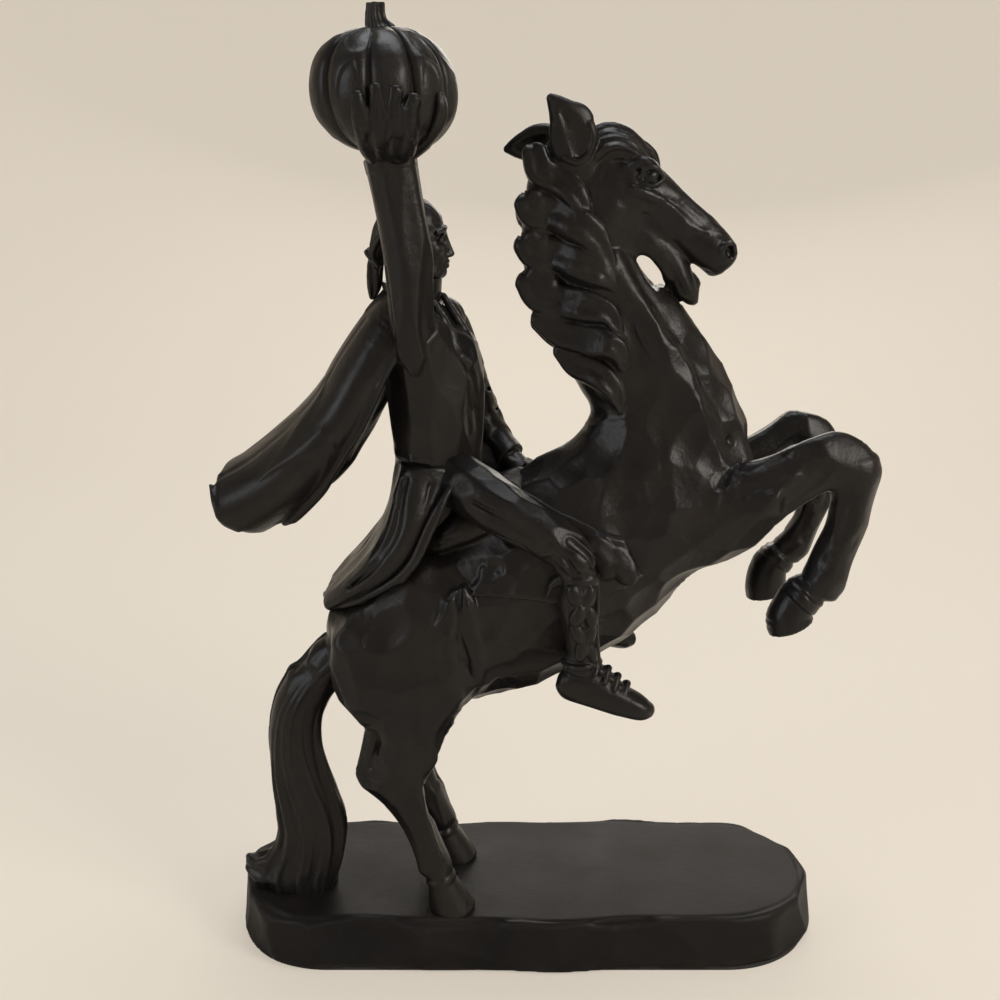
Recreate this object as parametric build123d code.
from build123d import *
import os
from math import cos, pi, radians, sin

# A resin statuette on an oval plinth: a horse rearing on its hind legs, a caped rider
# on its back, and a ribbed gourd held up in the rider's right hand.  The castings are
# separate: each seam is a flat cross-section of a limb, glued over a steel dowel, and
# the hooves and tail are screwed to the plinth from its hollow underside.
# +X is the way the horse faces, +Z is up, and the origin is the centre of the
# underside.  The horse's right side is towards -Y.  All sizes are in millimetres.

# ---- driving dimensions -----------------------------------------------------
FIGURE_HEIGHT = 511.0       # plinth top to the tip of the gourd's stem
PLINTH_LENGTH = 350.0
PLINTH_WIDTH = 124.0
PLINTH_THICKNESS = 32.0     # without the felt
PLINTH_CORNER = 56.0        # plan radius of the ends
PLINTH_BEVEL = 6.0          # along the top edge
PLINTH_WALL = 9.0           # of the hollow underside
PLINTH_ROOF = 12.0          # resin between the hollow and the top face
FELT_THICKNESS = 2.0
FELT_INSET = 1.5            # felt edge inside the plinth's edge
HORSE_Y = -16.0             # the horse's centre plane, from the plinth's
RIDER_Y = -14.0             # the rider's centre plane
BODY_WALL = 8.0             # of the hollow barrel
VENT_RADIUS = 7.0           # casting vent under the saddle
SEAM_DOWEL_RADIUS = 2.5
NECK_DOWEL_RADIUS = 4.0
ARM_ROD_RADIUS = 3.0        # the steel that carries the gourd
LEG_ROD_RADIUS = 3.0        # the steel cast into each hind cannon
SCREW_RADIUS = 2.5          # M5
SCREW_LENGTH = 24.0         # under the head
SCREW_HEAD_RADIUS = 4.5
SCREW_HEAD_HEIGHT = 3.2
WASHER_RADIUS = 6.5
WASHER_THICKNESS = 1.2
GLUE_GAP = 0.15             # round every dowel, rod and screw, and at its blind end
GOURD_RADIUS = 38.5
GOURD_HEIGHT = 66.0
GOURD_RIBS = 10
GOURD_RIB_DEPTH = 2.5
GOURD_SEAT_GAP = 0.1        # between the gourd and the hand under it
FINGER_RADIUS = 5.0
CAPE_WALL = 6.0

# ---- what follows from them ---------------------------------------------------
PLINTH_TOP = FELT_THICKNESS + PLINTH_THICKNESS
ROOF_UNDERSIDE = PLINTH_TOP - PLINTH_ROOF
DRAWN_HEIGHT = 511.0        # the height that the stations below were drawn at
DRAWN_TOP = 34.0            # and the plinth top that they stand on
DRAWN_GOURD_RADIUS = 38.5   # the gourd that the fingers were drawn round
SCALE = FIGURE_HEIGHT / DRAWN_HEIGHT


def at(x, y, z):
    """A point of the figure, scaled about the plinth's top and set on it."""
    return Vector(x * SCALE, y * SCALE, (z - DRAWN_TOP) * SCALE + PLINTH_TOP)


def mirrored(stations, middle):
    """The same stations on the other side of the plane y = middle."""
    return [(x, 2 * middle - y, z, thick, wide) for x, y, z, thick, wide in stations]


def tangents(points):
    """Direction of the path at each of its points."""
    found = []
    for i in range(len(points)):
        before = points[max(i - 1, 0)]
        after = points[min(i + 1, len(points) - 1)]
        found.append((after - before).normalized())
    return found


def section(point, along, thick, wide):
    """An ellipse square to the path: wide is its half size along Y, thick the other."""
    side = Vector(0, 1, 0) - along * along.Y
    plane = Plane(origin=point, x_dir=side.normalized(), z_dir=along)
    return plane * Ellipse(wide * SCALE, thick * SCALE)


def limb(stations, start=None, end=None):
    """A loft through (x, y, z, thick, wide) ellipses; start and end tilt its end faces."""
    points = [at(x, y, z) for x, y, z, _, _ in stations]
    directions = tangents(points)
    directions[0] = start or directions[0]
    directions[-1] = end or directions[-1]
    return loft([
        section(point, along, station[3], station[4])
        for point, along, station in zip(points, directions, stations)
    ])


def ball(x, y, z, radius_x, radius_y, radius_z):
    """An ellipsoid."""
    sizes = (radius_x * SCALE, radius_y * SCALE, radius_z * SCALE)
    return Pos(*at(x, y, z)) * scale(Sphere(1), sizes)


def rod(start, along, length, radius):
    """A cylinder from start, running in the direction along."""
    plane = Plane(origin=start, z_dir=along)
    return plane * Cylinder(radius, length, align=(Align.CENTER, Align.CENTER, Align.MIN))


class Seam:
    """A joint between two castings and the dowel that crosses it, from inside to outside."""

    def __init__(self, here, towards, radius, inside, outside):
        self.point = at(*here[:3])
        self.along = (at(*towards[:3]) - self.point).normalized()
        self.radius = radius
        self.inside = inside
        self.outside = outside

    def dowel(self):
        start = self.point - self.along * self.inside
        return rod(start, self.along, self.inside + self.outside, self.radius)

    def socket(self):
        """The dowel's hole through both castings, wider and longer by the glue gap."""
        start = self.point - self.along * (self.inside + GLUE_GAP)
        length = self.inside + self.outside + 2 * GLUE_GAP
        return rod(start, self.along, length, self.radius + GLUE_GAP)


def largest(shape):
    """The biggest solid of a cut, without the slivers that a cut can leave."""
    return max(shape.solids(), key=lambda solid: solid.volume)


GOURD_CENTRE = (-76, -38, 502)

# ---- stations: (x, y, z, thick, wide), all half sizes ------------------------
BARREL = [
    (-112, HORSE_Y, 196, 12, 10),
    (-104, HORSE_Y, 197, 28, 24),
    (-88, HORSE_Y, 199, 39, 35),
    (-64, HORSE_Y, 203, 47, 41),
    (-38, HORSE_Y, 208, 51, 43),
    (-10, HORSE_Y, 220, 55, 45),
    (17, HORSE_Y, 238, 58, 46),
    (40, HORSE_Y, 256, 57, 44),
    (62, HORSE_Y, 272, 52, 40),
    (84, HORSE_Y, 284, 44, 34),
    (102, HORSE_Y, 292, 32, 26),
    (114, HORSE_Y, 297, 20, 18),
    (121, HORSE_Y, 300, 8, 8),
]
HAUNCH = [
    (-74, -34, 205, 30, 14),
    (-71, -39, 190, 40, 20),
    (-68, -43, 170, 37, 19),
    (-66, -45, 152, 25, 14),
]
HIND_LEG = [
    HAUNCH[-1],
    (-69, -46, 140, 20, 12.5),
    (-75, -46, 128, 18.5, 11.5),
    (-77, -46, 119, 17.5, 11),
    (-73, -46, 108, 13, 10),
    (-66.5, -46, 96, 10, 9),
    (-61.5, -46, 84, 8.5, 8.5),
    (-57, -46, 70, 8.7, 8.7),
    (-52, -46, 56, 8.3, 8.7),
]
HIND_HOOF = [(-51, -46, 54, 9, 9), (-48, -46, 48, 11, 11), (-44, -46, 34, 14, 12.5)]
SHOULDER = [
    (88, -38, 258, 26, 13),
    (106, -43, 272, 30, 17),
    (124, -47, 285, 24, 14.5),
]
FOREARM = [
    SHOULDER[-1],
    (139, -48, 296, 18.5, 12.5),
    (151, -48, 303, 16.5, 11.5),
    (164, -48, 307, 17, 11),
    (176, -48, 305, 14, 10),
    (184, -48, 301, 7, 6),
]
FORE_CANNON = [
    (178, -48, 312, 12, 9.5),
    (180, -48, 298, 12.5, 10),
    (178, -48, 280, 11, 9.2),
    (174, -47, 262, 10.5, 9),
    (169, -46, 246, 11.5, 9.5),
    (165, -46, 232, 11, 10),
    (163, -46, 226, 6, 6),
]
FORE_HOOF = [(166, -46, 233, 10, 9), (155, -46, 228, 10, 9.5), (137, -46, 222, 15.3, 13)]
FAR_SHOULDER = [
    (90, 6, 262, 24, 12),
    (104, 10, 276, 27, 16),
    (120, 13, 288, 22, 13.5),
]
FAR_FOREARM = [
    FAR_SHOULDER[-1],
    (134, 14, 298, 17.5, 12),
    (148, 14, 305, 15.5, 11),
    (160, 14, 309, 14.5, 10.5),
    (170, 14, 307, 8, 7),
]
FAR_CANNON = [
    (164, 14, 318, 9, 8.5),
    (168, 14, 302, 12, 9.5),
    (170, 14, 284, 10.8, 9.2),
    (170, 14, 267, 10, 9),
    (168, 14, 251, 9.5, 9),
    (163, 14, 237, 10.5, 10),
    (160, 14, 230, 6, 6),
]
FAR_HOOF = [(164, 14, 238, 9.5, 9), (153, 14, 231, 10, 9.5), (136, 14, 221, 14, 12.5)]
NECK_ROOT = [(78, HORSE_Y, 280, 44, 31), (79, HORSE_Y, 300, 46, 31), (78, HORSE_Y, 316, 45.5, 29.5)]
NECK = [
    NECK_ROOT[-1],
    (74, HORSE_Y, 338, 39, 26),
    (64, HORSE_Y, 360, 35, 23),
    (52, HORSE_Y, 381, 29, 20.5),
    (41, HORSE_Y, 402, 24, 18.5),
    (34, HORSE_Y, 424, 21.5, 17),
    (29, HORSE_Y, 446, 18, 14.5),
    (26, HORSE_Y, 462, 9, 8),
]
MANE = [
    (20, HORSE_Y, 476, 6, 7),
    (12, HORSE_Y, 455, 14, 13),
    (9, HORSE_Y, 428, 15, 16),
    (12, HORSE_Y, 400, 15, 17),
    (23, HORSE_Y, 374, 15, 16),
    (39, HORSE_Y, 350, 12, 14),
    (50, HORSE_Y, 334, 7, 10),
]
HEAD = [
    (22, HORSE_Y, 462, 12, 10),
    (36, HORSE_Y, 458, 22, 15),
    (52, HORSE_Y, 450, 26, 17.5),
    (66, HORSE_Y, 442, 19, 15),
    (80, HORSE_Y, 432, 13, 11.5),
    (93, HORSE_Y, 422, 11.5, 10.5),
    (104, HORSE_Y, 414, 11, 11),
    (111, HORSE_Y, 409, 6, 7),
]
JAW = [
    (58, HORSE_Y, 434, 10, 11),
    (71, HORSE_Y, 421, 8.5, 9),
    (80, HORSE_Y, 408, 7.5, 7.5),
    (86, HORSE_Y, 398, 7.5, 7),
    (93, HORSE_Y, 396, 4, 5),
]
EAR = [(30, -26, 468, 9, 5), (23, -27, 482, 8, 5), (12, -27, 496, 3, 2.5)]
FAR_EAR = [(16, -8, 470, 8, 5), (2, -7, 475, 8, 5), (-11, -6, 473, 2.5, 2.5)]
TAIL_ROOT = [(-98, HORSE_Y, 190, 12, 11), (-108, HORSE_Y, 186, 12.5, 11), (-117, HORSE_Y, 179, 12.5, 11)]
TAIL = [
    TAIL_ROOT[-1],
    (-128, HORSE_Y, 167, 13, 11.5),
    (-137, HORSE_Y, 149, 15, 13),
    (-139, HORSE_Y, 129, 15.5, 14),
    (-137, HORSE_Y, 108, 17.5, 15),
    (-132, HORSE_Y, 88, 19, 16),
    (-130, HORSE_Y, 70, 19, 16),
    (-134, HORSE_Y, 52, 20, 17),
    (-136, HORSE_Y, 34, 22, 18),
]
TAIL_CURL = [
    (-136, HORSE_Y, 44, 9, 10),
    (-150, HORSE_Y, 43, 9, 9),
    (-161, HORSE_Y, 47, 6, 6),
    (-168, HORSE_Y, 50, 2.5, 3),
]
TORSO = [
    (-42, RIDER_Y, 256, 22, 27),
    (-47, RIDER_Y, 280, 26, 28),
    (-49, RIDER_Y, 305, 26, 26),
    (-49, RIDER_Y, 330, 26, 29),
    (-52, RIDER_Y, 352, 25, 33),
    (-57, RIDER_Y, 372, 21, 35),
    (-61, RIDER_Y, 387, 17, 27),
    (-64, RIDER_Y, 397, 15, 16),
]
COLLAR = [(-64, RIDER_Y, 394, 14.5, 14), (-64, RIDER_Y, 402, 17, 16)]
COAT_TAILS = [
    (-50, RIDER_Y, 292, 27, 29),
    (-60, RIDER_Y, 266, 27, 31),
    (-76, RIDER_Y, 250, 21, 33),
    (-95, RIDER_Y, 236, 13, 28),
    (-113, RIDER_Y, 222, 5, 15),
]
RAISED_ARM = [
    (-60, -40, 366, 14, 12.5),
    (-62, -42, 380, 13.5, 12.5),
    (-64, -42, 400, 12.8, 12.5),
    (-65, -42, 421, 12.8, 12.5),
    (-68, -42, 446, 13, 13),
    (-73, -42, 470, 13.5, 13.5),
]
REIN_ARM = [
    (-52, 16, 378, 12, 11),
    (-45, 21, 360, 13, 12),
    (-36, 24, 338, 12, 11.5),
    (-28, 24, 318, 10.5, 10.5),
]
REIN_FOREARM = [(-31, 26, 322, 10, 10), (-22, 20, 307, 9, 9), (-13, 10, 295, 7.5, 8), (-6, 2, 288, 6, 8)]
THIGH = [
    (-36, -40, 290, 14, 12),
    (-26, -49, 287, 14, 13),
    (-11, -57, 280, 13.5, 12.5),
    (6, -62, 271, 12.5, 12),
    (20, -66, 262, 11.5, 11),
    (27, -68, 254, 9, 9),
]
SHIN = [
    (24, -67, 262, 9, 9),
    (27, -68, 250, 10.5, 10),
    (27, -68, 232, 10.5, 10),
    (29, -67, 212, 8.5, 8.5),
    (30, -66, 197, 8.5, 8.5),
]
SHOE = [
    (16, -66, 190, 6, 5.5),
    (23, -66, 188, 11, 8.5),
    (34, -67, 185, 12, 9),
    (47, -68, 179, 9.5, 9.5),
    (60, -69, 173, 7.5, 9),
    (68, -69, 170, 4, 5.5),
]
SADDLE = [
    (-66, RIDER_Y, 250, 7, 18),
    (-50, RIDER_Y, 260, 13, 32),
    (-26, RIDER_Y, 270, 15, 36),
    (-8, RIDER_Y, 280, 13, 28),
    (4, RIDER_Y, 288, 6, 14),
]
RIDER_NECK = [(-63, RIDER_Y, 397, 8.5, 8), (-62, RIDER_Y, 414, 8.5, 8)]
RIDER_HEAD = [
    (-59, RIDER_Y, 409, 8, 7),
    (-59.5, RIDER_Y, 415, 12, 10),
    (-61, RIDER_Y, 426, 16, 13),
    (-62, RIDER_Y, 437, 15.5, 12.5),
    (-62, RIDER_Y, 445, 8.5, 8),
]
PALM = [(-73, -42, 470, 8.5, 9), (-75, -41, 476, 11, 11), (-76, -40, 481, 17, 17)]
CAPE = [
    (-76, RIDER_Y, 372, 27, 34),
    (-92, RIDER_Y, 341, 29, 38),
    (-111, RIDER_Y, 318, 27, 40),
    (-132, RIDER_Y, 301, 25, 40),
    (-152, RIDER_Y, 288, 24, 38),
    (-170, RIDER_Y, 277, 22, 36),
]
BLANKET_THICKNESS = 3.0
BLANKET_BACK = -58.0        # where the blanket ends, along the figure
BLANKET_FRONT = 62.0
BLANKET_HEM = 232.0         # its lowest edge
STEM_TOP = 545.0
FINGER_FIRST = radians(-128)
FINGER_SPREAD = radians(27)

# ---- seams and their dowels ----------------------------------------------------
NECK_SEAM = Seam(NECK[0], NECK[1], NECK_DOWEL_RADIUS, 18, 24)
HEAD_SEAM = Seam((38, HORSE_Y, 452), (56, HORSE_Y, 447), SEAM_DOWEL_RADIUS, 12, 12)
TAIL_SEAM = Seam(TAIL[0], TAIL[1], SEAM_DOWEL_RADIUS, 10, 9)
HIND_SEAM = Seam(HIND_LEG[0], HIND_LEG[1], SEAM_DOWEL_RADIUS, 12, 12)
FORE_SEAM = Seam(FOREARM[0], FOREARM[1], SEAM_DOWEL_RADIUS, 12, 12)
FAR_HIND_LEG = mirrored(HIND_LEG, HORSE_Y)
FAR_HIND_SEAM = Seam(FAR_HIND_LEG[0], FAR_HIND_LEG[1], SEAM_DOWEL_RADIUS, 12, 12)
FAR_FORE_SEAM = Seam(FAR_FOREARM[0], FAR_FOREARM[1], SEAM_DOWEL_RADIUS, 12, 12)
TORSO_SEAM = Seam((-46, RIDER_Y, 268), (-46, RIDER_Y, 290), NECK_DOWEL_RADIUS, 22, 24)
RIDER_HEAD_SEAM = Seam((-63, RIDER_Y, 402), (-62, RIDER_Y, 420), SEAM_DOWEL_RADIUS, 14, 16)
THIGH_SEAM = Seam((-27, -40, 285), (-24, -60, 284), SEAM_DOWEL_RADIUS, 14, 10)
FAR_THIGH_SEAM = Seam((-27, 12, 285), (-24, 32, 284), SEAM_DOWEL_RADIUS, 14, 10)
REIN_SEAM = Seam((-51, 14, 372), (-44, 24, 364), SEAM_DOWEL_RADIUS, 11, 6)
CAPE_SEAMS = [
    Seam((-76, RIDER_Y + offset, 366), (-90, RIDER_Y + offset, 372), 1.5, 10, 6)
    for offset in (-14, 14)
]
ARM_ROD_FOOT = at(-59, -40, 350)
ARM_ROD_TOP = at(-77, -40, 506)
ARM_ROD_LENGTH = (ARM_ROD_TOP - ARM_ROD_FOOT).length
ARM_ROD_DIRECTION = (ARM_ROD_TOP - ARM_ROD_FOOT).normalized()
CANNON_ROD_FOOT = (-49, -46, 50)
CANNON_ROD_TOP = (-72, -46, 104)
SCREW_PLACES = [
    (HIND_HOOF[-1][0], HIND_HOOF[-1][1]),
    (HIND_HOOF[-1][0], 2 * HORSE_Y - HIND_HOOF[-1][1]),
    (TAIL[-1][0] - 9, HORSE_Y),
    (TAIL[-1][0] + 9, HORSE_Y),
]


# ---- plinth and what is under it -------------------------------------------------
def stadium(length, width, corner):
    """The plinth's plan: a long rectangle with broad rounded ends."""
    return RectangleRounded(length, width, min(corner, width / 2 - 1, length / 2 - 1))


def below_plinth_top():
    """All the space that the plinth's top face closes off from the figure."""
    size = 2 * PLINTH_LENGTH
    top = Pos(0, 0, PLINTH_TOP)
    return top * Box(size, size, size, align=(Align.CENTER, Align.CENTER, Align.MAX))


def screw_axis(place, height):
    """A point under a hoof or the tail, at a height of the plinth itself."""
    x, y = place
    return Vector(x * SCALE, y * SCALE, height)


def plinth():
    """The plinth, bevelled on top, hollow underneath and drilled for its screws.

    Under each screw the hollow is at least as wide as its washer, right down to the felt.
    """
    plan = stadium(PLINTH_LENGTH, PLINTH_WIDTH, PLINTH_CORNER)
    block = Pos(0, 0, FELT_THICKNESS) * extrude(plan, PLINTH_THICKNESS)
    block = chamfer(block.faces().sort_by(Axis.Z)[-1].edges(), PLINTH_BEVEL)
    wall = 2 * PLINTH_WALL
    recess = stadium(PLINTH_LENGTH - wall, PLINTH_WIDTH - wall, PLINTH_CORNER - PLINTH_WALL)
    block -= Pos(0, 0, FELT_THICKNESS) * extrude(recess, PLINTH_THICKNESS - PLINTH_ROOF)
    for place in SCREW_PLACES:
        start = screw_axis(place, ROOF_UNDERSIDE)
        block -= rod(start, Vector(0, 0, 1), PLINTH_ROOF, SCREW_RADIUS + GLUE_GAP)
        block -= rod(start, Vector(0, 0, -1), ROOF_UNDERSIDE, WASHER_RADIUS + GLUE_GAP)
    return block


def felt_pad():
    inset = 2 * FELT_INSET
    sheet = stadium(PLINTH_LENGTH - inset, PLINTH_WIDTH - inset, PLINTH_CORNER - FELT_INSET)
    return extrude(sheet, FELT_THICKNESS)


def screw(place):
    """A cheese-head screw with a cross-slot, up through the washer and the plinth."""
    seat = screw_axis(place, ROOF_UNDERSIDE - WASHER_THICKNESS)
    up = Vector(0, 0, 1)
    shank = rod(seat, up, SCREW_LENGTH, SCREW_RADIUS)
    head = rod(seat - up * SCREW_HEAD_HEIGHT, up, SCREW_HEAD_HEIGHT, SCREW_HEAD_RADIUS)
    slot_depth = SCREW_HEAD_HEIGHT / 2
    slot = Box(SCREW_HEAD_RADIUS, 1, slot_depth) + Box(1, SCREW_HEAD_RADIUS, slot_depth)
    return shank + head - Pos(*(seat - up * (SCREW_HEAD_HEIGHT - slot_depth / 2))) * slot


def washer(place):
    seat = screw_axis(place, ROOF_UNDERSIDE - WASHER_THICKNESS)
    up = Vector(0, 0, 1)
    ring = rod(seat, up, WASHER_THICKNESS, WASHER_RADIUS)
    return ring - rod(seat, up, WASHER_THICKNESS, SCREW_RADIUS + GLUE_GAP)


def screw_hole(place):
    """The screw's hole in the casting above the plinth's top."""
    depth = SCREW_LENGTH - WASHER_THICKNESS - PLINTH_ROOF + GLUE_GAP
    start = screw_axis(place, PLINTH_TOP)
    return rod(start, Vector(0, 0, 1), depth, SCREW_RADIUS + GLUE_GAP)


# ---- the horse ----------------------------------------------------------------------
def barrel(growth):
    """The horse's trunk, made fatter or thinner all round by growth."""
    return limb([(x, y, z, thick + growth, wide + growth) for x, y, z, thick, wide in BARREL])


def horse_body():
    """The hollow trunk with the roots of the legs, the neck and the tail."""
    body = barrel(0)
    body += limb(HAUNCH, end=HIND_SEAM.along)
    body += limb(mirrored(HAUNCH, HORSE_Y), end=FAR_HIND_SEAM.along)
    body += limb(SHOULDER, end=FORE_SEAM.along)
    body += limb(FAR_SHOULDER, end=FAR_FORE_SEAM.along)
    body += limb(NECK_ROOT, end=NECK_SEAM.along)
    body += limb(TAIL_ROOT, end=TAIL_SEAM.along)
    hollow = [
        (x, y, z, thick - BODY_WALL, wide - BODY_WALL)
        for x, y, z, thick, wide in BARREL
        if min(thick, wide) > 3 * BODY_WALL
    ]
    body -= limb(hollow)
    body -= rod(at(-14, HORSE_Y, 232), Vector(0, 0, 1), 60 * SCALE, VENT_RADIUS)
    for seam in (HIND_SEAM, FAR_HIND_SEAM, FORE_SEAM, FAR_FORE_SEAM, NECK_SEAM, TAIL_SEAM, TORSO_SEAM):
        body -= seam.socket()
    return largest(body)


def cannon_rod(middle, gap):
    """The steel in a hind cannon; middle mirrors it, gap gives its hole."""
    foot, top = CANNON_ROD_FOOT, CANNON_ROD_TOP
    if middle is not None:
        foot = (foot[0], 2 * middle - foot[1], foot[2])
        top = (top[0], 2 * middle - top[1], top[2])
    start, end = at(*foot), at(*top)
    along = (end - start).normalized()
    return rod(start - along * gap, along, (end - start).length + 2 * gap, LEG_ROD_RADIUS + gap)


def hind_leg(leg_stations, hoof_stations, seam, place, steel_hole, body):
    leg = limb(leg_stations, start=seam.along)
    leg += limb(hoof_stations, end=Vector(0, 0, -1))
    leg -= body
    leg -= seam.socket()
    leg -= screw_hole(place)
    leg -= steel_hole
    return largest(leg)


def foreleg(forearm, cannon, hoof, seam, body):
    leg = limb(forearm, start=seam.along) + limb(cannon) + limb(hoof)
    leg -= body
    leg -= seam.socket()
    return largest(leg)


def horse_neck(body):
    """The neck with its mane, down to the flat seam on the trunk."""
    neck = limb(NECK, start=NECK_SEAM.along) + limb(MANE)
    neck -= body
    neck -= NECK_SEAM.socket()
    neck -= HEAD_SEAM.socket()
    return largest(neck)


def horse_head(neck):
    head = limb(HEAD) + limb(JAW) + limb(EAR) + limb(FAR_EAR)
    head -= neck
    head -= HEAD_SEAM.socket()
    return largest(head)


def tail():
    brush = limb(TAIL, start=TAIL_SEAM.along, end=Vector(0, 0, -1))
    curl = limb(TAIL_CURL)
    whole = brush + curl - below_plinth_top()
    whole -= TAIL_SEAM.socket()
    for place in SCREW_PLACES[2:]:
        whole -= screw_hole(place)
    return largest(whole)


# ---- the rider --------------------------------------------------------------------
def saddle(body, neck):
    """The seat on its blanket, which lies on the horse's back and flanks."""
    length = BLANKET_FRONT - BLANKET_BACK
    middle = at((BLANKET_FRONT + BLANKET_BACK) / 2, HORSE_Y, BLANKET_HEM)
    reach = Box(length * SCALE, 120 * SCALE, 90 * SCALE, align=(Align.CENTER, Align.CENTER, Align.MIN))
    blanket = barrel(BLANKET_THICKNESS) & Pos(*middle) * reach
    seat = limb(SADDLE) + blanket
    seat = seat - body - neck
    for seam in (TORSO_SEAM, THIGH_SEAM, FAR_THIGH_SEAM):
        seat -= seam.socket()
    return largest(seat)


def rider_torso(body, seat):
    torso = limb(TORSO, start=Vector(0, 0, 1)) + limb(COLLAR)
    torso -= body
    torso -= seat
    for seam in (TORSO_SEAM, RIDER_HEAD_SEAM, THIGH_SEAM, FAR_THIGH_SEAM, REIN_SEAM, *CAPE_SEAMS):
        torso -= seam.socket()
    torso -= arm_rod(GLUE_GAP)
    return largest(torso)


def coat_tails(body, seat, torso):
    skirt = limb(COAT_TAILS)
    return largest(skirt - torso - seat - body - TORSO_SEAM.socket())


def rider_head(torso):
    """A plain head with a nose and a tied-back queue, on a neck in the collar."""
    head = limb(RIDER_NECK) + limb(RIDER_HEAD)
    head += limb([(-47, RIDER_Y, 430, 3, 2), (-43.5, RIDER_Y, 423, 3.5, 3), (-45, RIDER_Y, 420.5, 2, 2)])
    head += ball(-79, RIDER_Y, 424, 6, 5, 8)
    head -= torso
    head -= RIDER_HEAD_SEAM.socket()
    return largest(head)


def arm_rod(gap):
    """The steel through the raised arm, from the shoulder to the middle of the gourd."""
    start = ARM_ROD_FOOT - ARM_ROD_DIRECTION * gap
    return rod(start, ARM_ROD_DIRECTION, ARM_ROD_LENGTH + 2 * gap, ARM_ROD_RADIUS + gap)


def rider_arm_right(torso, envelope):
    arm = limb(RAISED_ARM, end=ARM_ROD_DIRECTION)
    arm = arm - torso - envelope
    return largest(arm - arm_rod(GLUE_GAP))


def ribbed_section(height, radius):
    """A level slice of the gourd: one outward arc for each rib."""
    def rim(step, reach):
        turn = 2 * pi * step / GOURD_RIBS
        return (reach * cos(turn), reach * sin(turn))

    groove = radius * (1 - GOURD_RIB_DEPTH / GOURD_RADIUS)
    ribs = [
        ThreePointArc(rim(rib, groove), rim(rib + 0.5, radius), rim(rib + 1, groove))
        for rib in range(GOURD_RIBS)
    ]
    return Pos(0, 0, height) * make_face(ribs)


def gourd():
    """A ribbed gourd with a stem, lofted from level slices of an ellipsoid."""
    x, y, z = GOURD_CENTRE
    turns = [radians(degree) for degree in (-75, -55, -30, 0, 30, 55, 75)]
    fruit = Pos(*at(x, y, z)) * loft([
        ribbed_section(GOURD_HEIGHT / 2 * SCALE * sin(turn), GOURD_RADIUS * SCALE * cos(turn))
        for turn in turns
    ])
    stem = [(x, y, z + 24, 9, 9), (x, y, z + 33, 5.5, 5.5), (x - 3, y, STEM_TOP, 4.5, 4.5)]
    fruit += limb(stem, end=Vector(0, 0, 1))
    return largest(fruit - arm_rod(GLUE_GAP))


def gourd_envelope():
    """The smooth ellipsoid that the gourd's ribs touch, which the hand is fitted to."""
    x, y, z = GOURD_CENTRE
    reach = GOURD_RADIUS + GOURD_SEAT_GAP
    return ball(x, y, z, reach, reach, GOURD_HEIGHT / 2 + GOURD_SEAT_GAP)


def finger(turn):
    """One finger: straight phalanges and round joints, up the gourd's side."""
    x, y, z = GOURD_CENTRE
    size = GOURD_RADIUS / DRAWN_GOURD_RADIUS
    joints = [
        at(x + reach * size * cos(turn), y + reach * size * sin(turn), z + rise)
        for reach, rise in ((9, -27), (25, -27), (37, -16), (40.5, 1))
    ]
    bones = Pos(*joints[0]) * Sphere(FINGER_RADIUS)
    for root, tip in zip(joints, joints[1:]):
        bones += rod(root, (tip - root).normalized(), (tip - root).length, FINGER_RADIUS)
        bones += Pos(*tip) * Sphere(FINGER_RADIUS)
    return bones


def right_hand(envelope, arm):
    """The palm under the gourd and the fingers up its side."""
    hand = limb(PALM, start=ARM_ROD_DIRECTION)
    for number in range(4):
        hand += finger(FINGER_FIRST + FINGER_SPREAD * number)
    hand = hand - envelope - arm - arm_rod(GLUE_GAP)
    return largest(hand)


def rider_arm_left(torso, seat, body):
    """The rein arm: sleeve, bent elbow and a closed hand on the horse's withers."""
    arm = limb(REIN_ARM) + limb(REIN_FOREARM) + ball(0, -3, 286, 10, 9, 8)
    arm -= torso
    arm -= seat
    arm -= body
    return largest(arm - REIN_SEAM.socket())


def rider_leg(thigh, shin, shoe, seam, neighbours):
    """Breeches, stocking and shoe, trimmed to what the leg lies against."""
    leg = limb(thigh) + limb(shin) + limb(shoe)
    leg -= neighbours
    return largest(leg - seam.socket())


def cape(torso, skirt, arm):
    """A wind-blown cape: a shell that is thick along its spine and thin at its hems."""
    outer = limb(CAPE)
    inner = limb([
        (x + CAPE_WALL * 0.8, y, z - CAPE_WALL * 1.1, thick, wide - CAPE_WALL / 2)
        for x, y, z, thick, wide in [(-62, RIDER_Y, 392, 27, 34), *CAPE, (-186, RIDER_Y, 268, 22, 36)]
    ])
    shell = outer - inner - torso - skirt - arm
    for seam in CAPE_SEAMS:
        shell -= seam.socket()
    return largest(shell)


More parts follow.
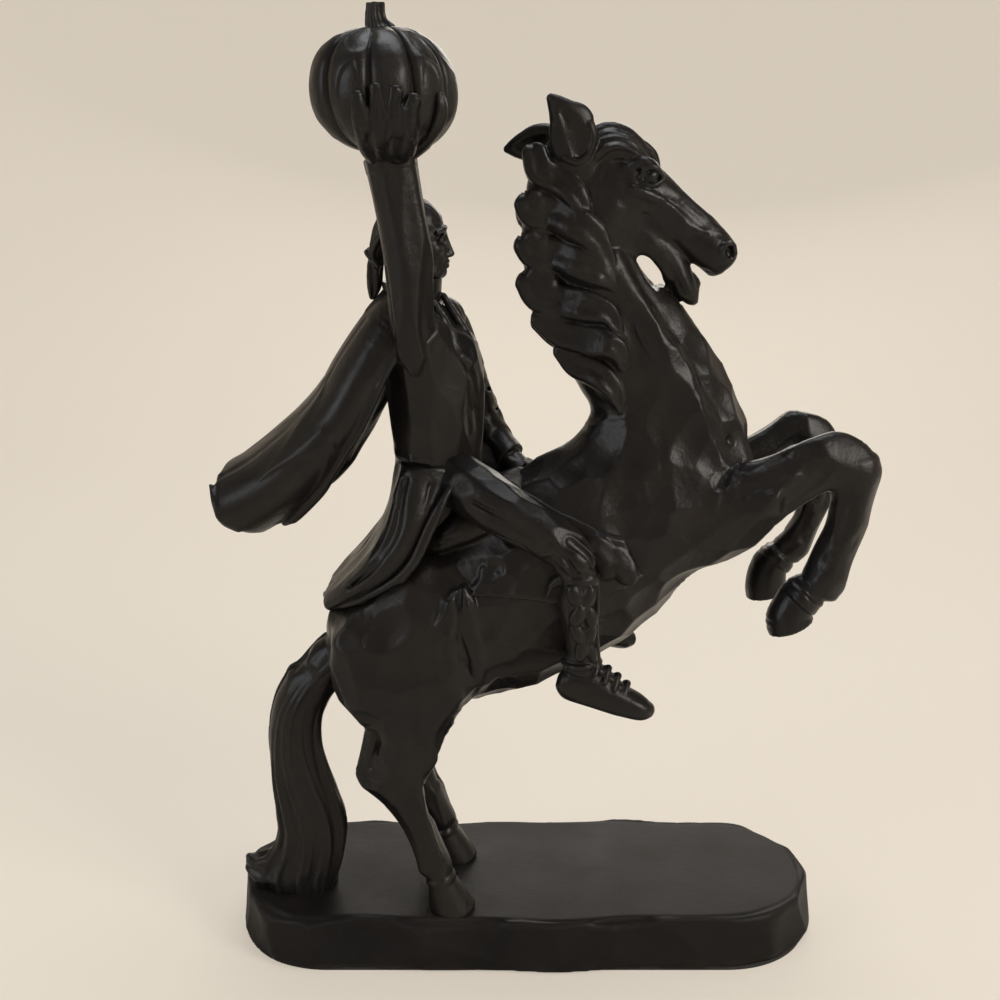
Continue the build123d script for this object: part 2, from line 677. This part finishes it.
# ---- write every node -----------------------------------------------------------------
def main():
    os.makedirs("parts", exist_ok=True)
    body = horse_body()
    neck = horse_neck(body)
    seat = saddle(body, neck)
    torso = rider_torso(body, seat)
    skirt = coat_tails(body, seat, torso)
    envelope = gourd_envelope()
    arm = rider_arm_right(torso, envelope)
    rein_arm = rider_arm_left(torso, seat, body)
    far_hoof = mirrored(HIND_HOOF, HORSE_Y)
    beside_legs = [body, seat, torso, skirt, rein_arm]
    nodes = {
        "plinth": plinth(),
        "felt_pad": felt_pad(),
        "plinth_screws": Compound([screw(place) for place in SCREW_PLACES]),
        "screw_washers": Compound([washer(place) for place in SCREW_PLACES]),
        "horse_body": body,
        "hind_leg_right": hind_leg(
            HIND_LEG, HIND_HOOF, HIND_SEAM, SCREW_PLACES[0], cannon_rod(None, GLUE_GAP), body
        ),
        "hind_leg_left": hind_leg(
            FAR_HIND_LEG, far_hoof, FAR_HIND_SEAM, SCREW_PLACES[1], cannon_rod(HORSE_Y, GLUE_GAP), body
        ),
        "hind_leg_rods": Compound([cannon_rod(None, 0), cannon_rod(HORSE_Y, 0)]),
        "hind_leg_dowels": Compound([HIND_SEAM.dowel(), FAR_HIND_SEAM.dowel()]),
        "foreleg_right": foreleg(FOREARM, FORE_CANNON, FORE_HOOF, FORE_SEAM, body),
        "foreleg_left": foreleg(FAR_FOREARM, FAR_CANNON, FAR_HOOF, FAR_FORE_SEAM, body),
        "foreleg_dowels": Compound([FORE_SEAM.dowel(), FAR_FORE_SEAM.dowel()]),
        "horse_neck": neck,
        "neck_dowel": NECK_SEAM.dowel(),
        "horse_head": horse_head(neck),
        "head_dowel": HEAD_SEAM.dowel(),
        "tail": tail(),
        "tail_dowel": TAIL_SEAM.dowel(),
        "saddle": seat,
        "rider_torso": torso,
        "torso_dowel": TORSO_SEAM.dowel(),
        "coat_tails": skirt,
        "rider_head": rider_head(torso),
        "rider_head_dowel": RIDER_HEAD_SEAM.dowel(),
        "rider_arm_right": arm,
        "arm_rod": arm_rod(0),
        "gourd": gourd(),
        "right_hand": right_hand(envelope, arm),
        "rider_arm_left": rein_arm,
        "rein_arm_dowel": REIN_SEAM.dowel(),
        "rider_leg_right": rider_leg(THIGH, SHIN, SHOE, THIGH_SEAM, beside_legs),
        "rider_leg_left": rider_leg(
            mirrored(THIGH, RIDER_Y),
            mirrored(SHIN, RIDER_Y),
            mirrored(SHOE, RIDER_Y),
            FAR_THIGH_SEAM,
            beside_legs
        ),
        "rider_leg_dowels": Compound([THIGH_SEAM.dowel(), FAR_THIGH_SEAM.dowel()]),
        "cape": cape(torso, skirt, arm),
        "cape_dowels": Compound([seam.dowel() for seam in CAPE_SEAMS]),
    }
    for name, shape in nodes.items():
        export_step(shape, f"parts/{name}.step")


main()
